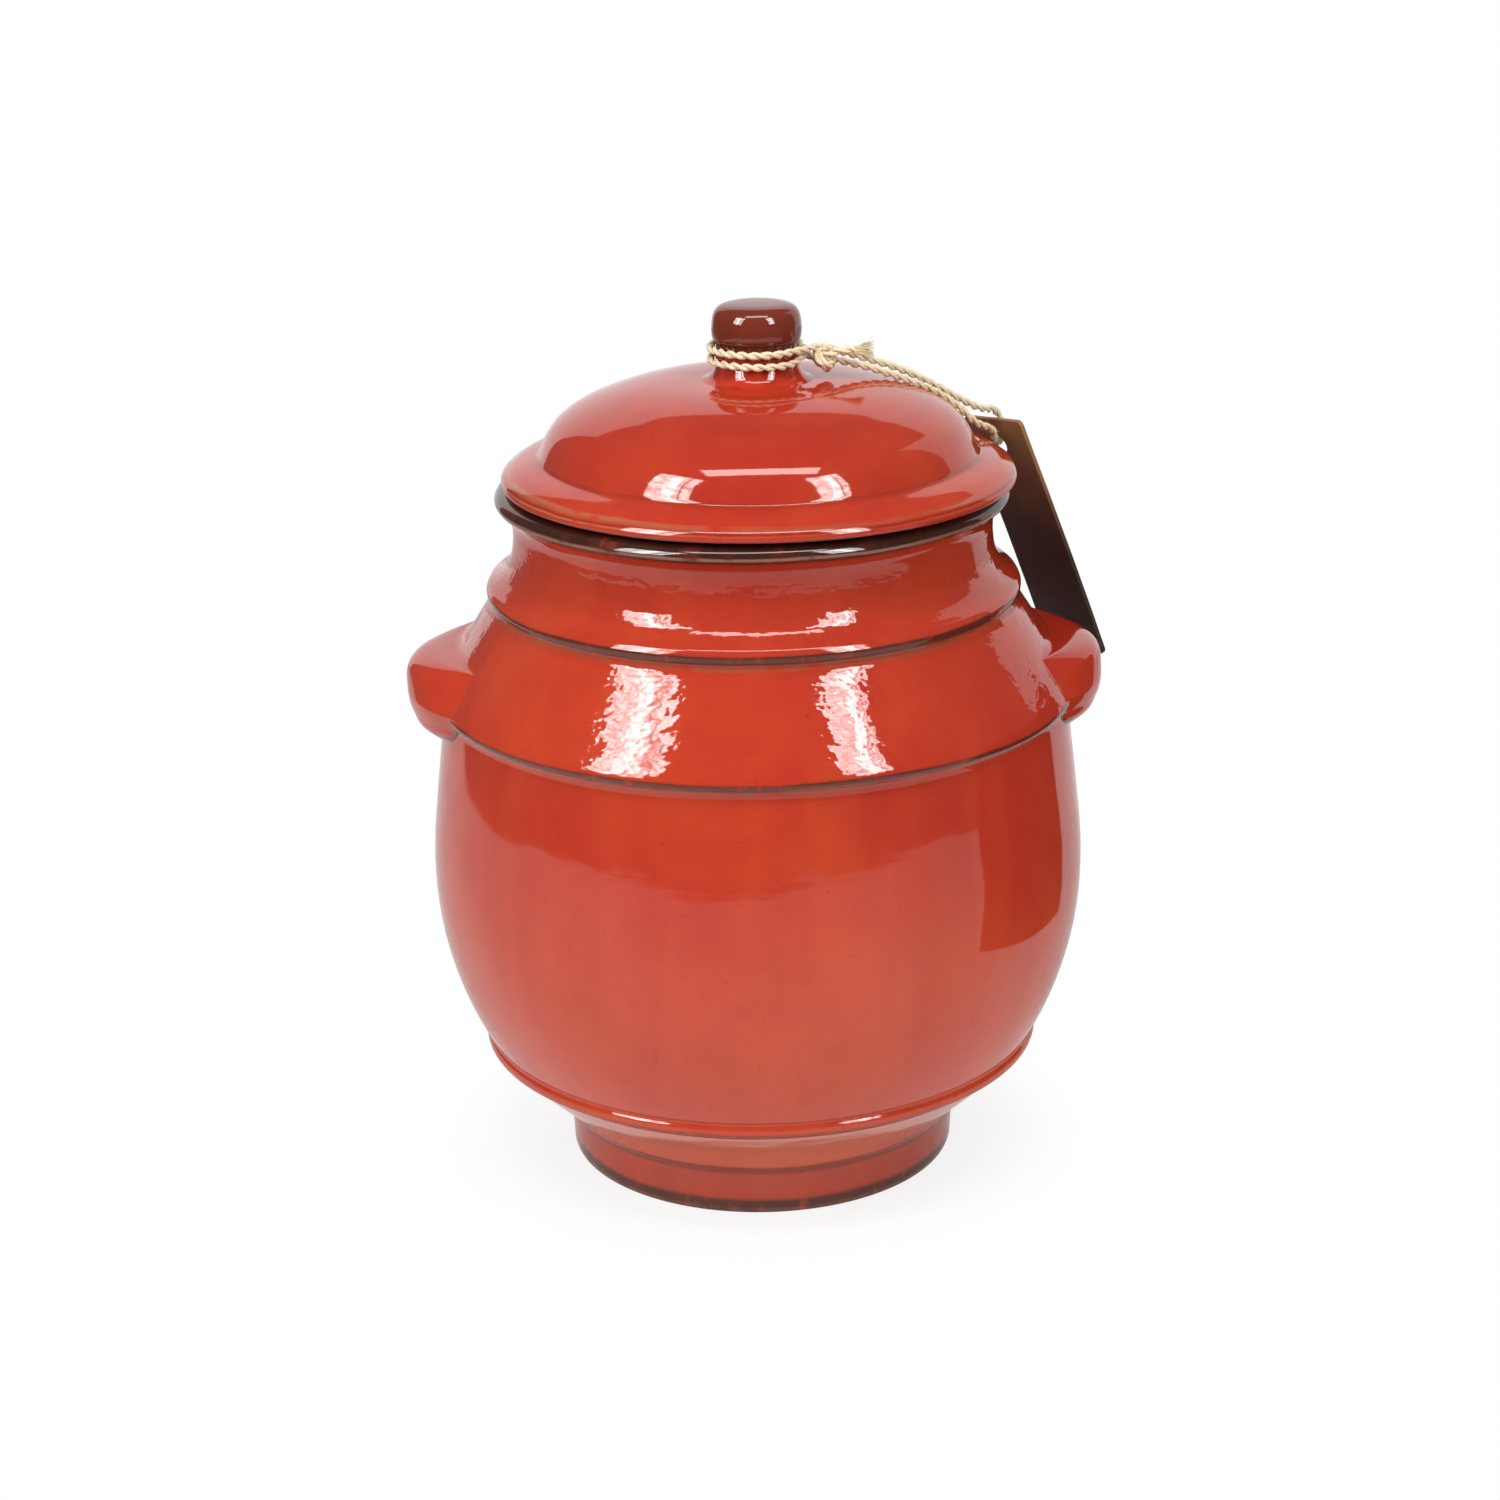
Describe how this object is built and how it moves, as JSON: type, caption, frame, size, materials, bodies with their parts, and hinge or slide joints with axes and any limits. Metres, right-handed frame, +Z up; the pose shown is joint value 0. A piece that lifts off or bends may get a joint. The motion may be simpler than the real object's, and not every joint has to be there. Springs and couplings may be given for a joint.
{
  "type": "olive jar",
  "caption": "Glazed earthenware olive jar with ledge ears, a domed lid with a knob, and a string-tied hang tag.",
  "frame": {"origin": "centre of the jar's flat base, on the table", "axes": "+Z up along the jar's axis, +X through the right ear, -Y towards the viewer"},
  "size_m": [0.2212, 0.2058, 0.275],
  "materials": {
    "red_glaze": "gloss orange-red glaze that breaks to brown at edges",
    "brown_glaze": "gloss maroon-brown glaze",
    "jute_string": "two-ply natural jute, fuzzy",
    "brown_card": "dark brown card, worn edges"
  },
  "bodies": {
    "jar": {"jar_body": "red_glaze", "left_ear": "red_glaze", "right_ear": "red_glaze"},
    "lid_set": {"lid": "red_glaze", "lid_knob": "brown_glaze", "twine_winding": "jute_string", "twine_knot": "jute_string", "tag_loop": "jute_string"},
    "tag": {"hang_tag": "brown_card"}
  },
  "joints": [
    {"name": "lid_lift", "type": "slide", "parent": "jar", "child": "lid_set", "axis": [0, 0, 1], "range_m": [0, 0.12]},
    {"name": "tag_swing", "type": "hinge", "parent": "lid_set", "child": "tag", "pos_m": [0.07808, 0.04107, 0.2225], "axis": [0.5953, -0.7942, 0.1216], "range_deg": [-3, 12]}
  ]
}
